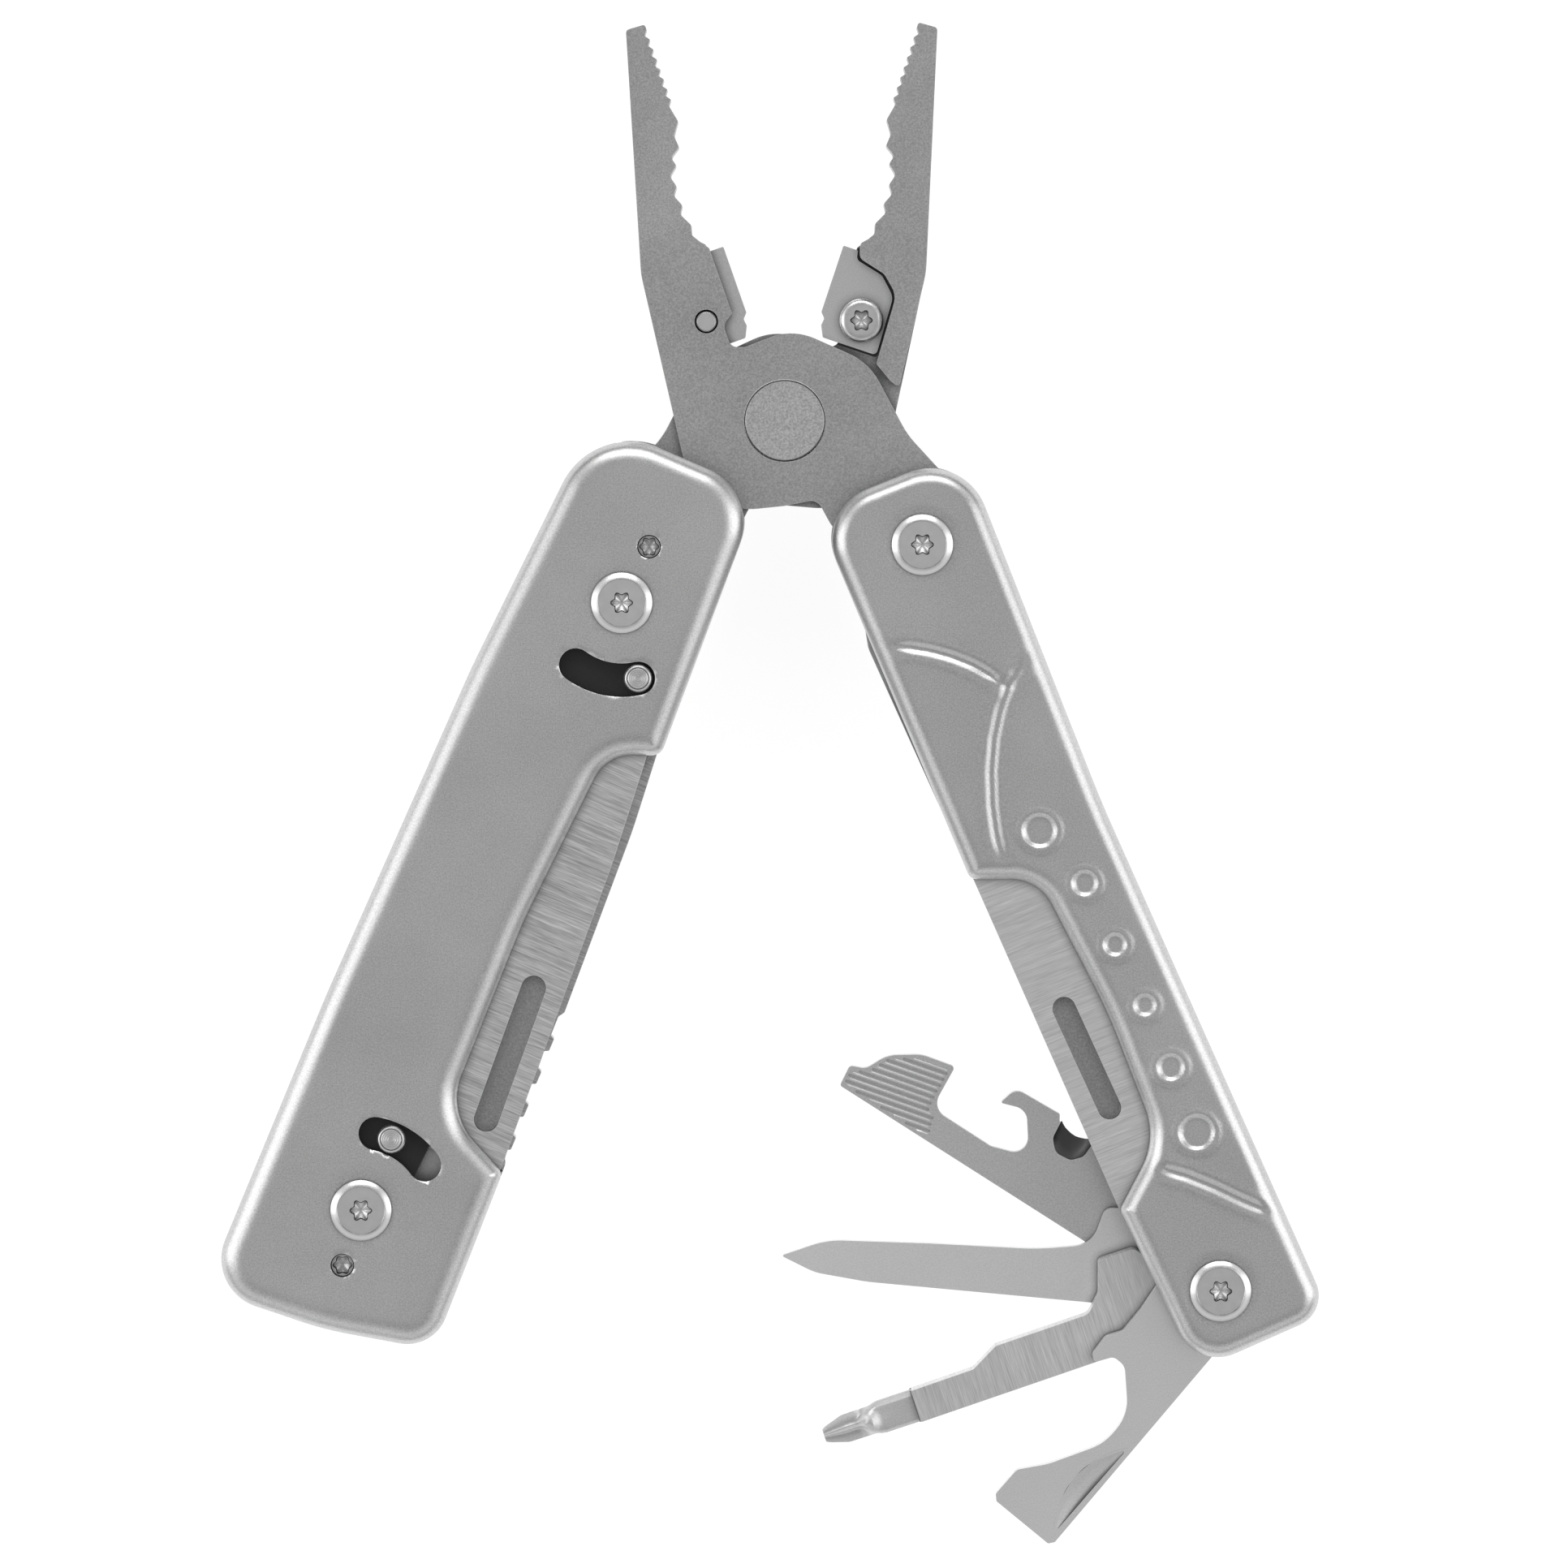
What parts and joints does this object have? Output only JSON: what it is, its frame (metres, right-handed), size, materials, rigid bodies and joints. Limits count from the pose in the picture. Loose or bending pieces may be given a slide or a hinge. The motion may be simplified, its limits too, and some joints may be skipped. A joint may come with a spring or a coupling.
{
  "type": "multi tool",
  "caption": "folding steel multi tool with open pliers, two handles with lockable outside blades and four small fold-out tools",
  "frame": {"origin": "centre of the bounding box footprint, on the surface the tool lies on", "axes": "+Y along the tool from the handle ends to the jaw tips, +X across it, +Z out of the front face"},
  "size_m": [0.1225, 0.1702, 0.021],
  "materials": {
    "blasted_steel": "bead blasted, fine grain",
    "jaw_steel": "tumbled satin",
    "brushed_blade": "brushed across the blade",
    "satin_steel": "satin",
    "polished_steel": "semi-bright turned",
    "black_steel": "black oxide"
  },
  "bodies": {
    "front_pliers": {"front_jaw_half": "jaw_steel", "jaw_rivet": "jaw_steel", "front_cutter_insert": "jaw_steel", "front_cutter_screw": "polished_steel"},
    "rear_pliers": {"rear_jaw_half": "jaw_steel", "rear_cutter_insert": "jaw_steel", "rear_cutter_screw": "polished_steel"},
    "left_handle": {"left_front_cover": "blasted_steel", "left_rear_cover": "blasted_steel", "left_front_liner": "satin_steel", "left_rear_liner": "satin_steel", "left_tang_post": "polished_steel", "left_end_post": "polished_steel", "left_handle_screws": "polished_steel", "left_end_collar": "satin_steel", "upper_lock_screw": "polished_steel", "knife_pivot_screw": "polished_steel", "serrated_pivot_screw": "polished_steel"},
    "right_handle": {"right_front_cover": "blasted_steel", "right_rear_cover": "blasted_steel", "right_front_liner": "satin_steel", "right_rear_liner": "satin_steel", "right_tang_post": "polished_steel", "tool_post": "polished_steel", "right_handle_screws": "polished_steel", "tool_washers": "polished_steel", "tool_back_spring": "satin_steel"},
    "knife_part": {"knife": "brushed_blade"},
    "serrated_part": {"serrated_blade": "brushed_blade"},
    "saw_part": {"saw": "brushed_blade"},
    "file_part": {"file": "brushed_blade"},
    "opener_part": {"opener": "satin_steel"},
    "pointed_part": {"pointed_blade": "satin_steel"},
    "phillips_part": {"phillips_driver": "brushed_blade"},
    "flat_part": {"flat_driver": "satin_steel"},
    "upper_lock": {"upper_lock_lever": "black_steel", "upper_lock_pin": "polished_steel"},
    "knife_lock": {"knife_lock_lever": "black_steel", "knife_lock_pin": "polished_steel"},
    "serrated_lock": {"serrated_lock_lever": "black_steel", "serrated_lock_pin": "polished_steel"}
  },
  "joints": [
    {"name": "jaw_pivot", "type": "hinge", "parent": "front_pliers", "child": "rear_pliers", "pos_m": [0.00168, 0.04077, 0.0105], "axis": [0, 0, 1], "range_deg": [0, 37.7]},
    {"name": "left_fold", "type": "hinge", "parent": "rear_pliers", "child": "left_handle", "pos_m": [-0.01337, 0.02681, 0.0105], "axis": [0, 0, 1], "range_deg": [-176, 0]},
    {"name": "right_fold", "type": "hinge", "parent": "front_pliers", "child": "right_handle", "pos_m": [0.01695, 0.02705, 0.0105], "axis": [0, 0, 1], "range_deg": [0, 177]},
    {"name": "knife_open", "type": "hinge", "parent": "left_handle", "child": "knife_part", "pos_m": [-0.04547, -0.04701, 0.0105], "axis": [0, 0, -1], "range_deg": [0, 180]},
    {"name": "serrated_open", "type": "hinge", "parent": "left_handle", "child": "serrated_part", "pos_m": [-0.04547, -0.04701, 0.0105], "axis": [0, 0, -1], "range_deg": [0, 180]},
    {"name": "saw_open", "type": "hinge", "parent": "right_handle", "child": "saw_part", "pos_m": [0.05021, -0.05604, 0.0105], "axis": [0, 0, 1], "range_deg": [0, 180]},
    {"name": "file_open", "type": "hinge", "parent": "right_handle", "child": "file_part", "pos_m": [0.05021, -0.05604, 0.0105], "axis": [0, 0, 1], "range_deg": [0, 180]},
    {"name": "opener_open", "type": "hinge", "parent": "right_handle", "child": "opener_part", "pos_m": [0.05021, -0.05604, 0.0105], "axis": [0, 0, 1], "range_deg": [-34.9, 145.1]},
    {"name": "pointed_open", "type": "hinge", "parent": "right_handle", "child": "pointed_part", "pos_m": [0.05021, -0.05604, 0.0105], "axis": [0, 0, 1], "range_deg": [-62.3, 117.7]},
    {"name": "phillips_open", "type": "hinge", "parent": "right_handle", "child": "phillips_part", "pos_m": [0.05021, -0.05604, 0.0105], "axis": [0, 0, 1], "range_deg": [-86.6, 93.4]},
    {"name": "flat_open", "type": "hinge", "parent": "right_handle", "child": "flat_part", "pos_m": [0.05021, -0.05604, 0.0105], "axis": [0, 0, 1], "range_deg": [-118.7, 61.3]},
    {"name": "upper_lock_slide", "type": "hinge", "parent": "left_handle", "child": "upper_lock", "pos_m": [-0.0164, 0.0206, 0.0105], "axis": [0, 0, 1], "range_deg": [-46, 0], "stiffness_Nm_per_rad": 0.01},
    {"name": "knife_lock_slide", "type": "hinge", "parent": "left_handle", "child": "knife_lock", "pos_m": [-0.04547, -0.04701, 0.0105], "axis": [0, 0, 1], "range_deg": [-29, 10], "stiffness_Nm_per_rad": 0.01},
    {"name": "serrated_lock_slide", "type": "hinge", "parent": "left_handle", "child": "serrated_lock", "pos_m": [-0.04547, -0.04701, 0.0105], "axis": [0, 0, 1], "range_deg": [-29, 10], "stiffness_Nm_per_rad": 0.01}
  ]
}
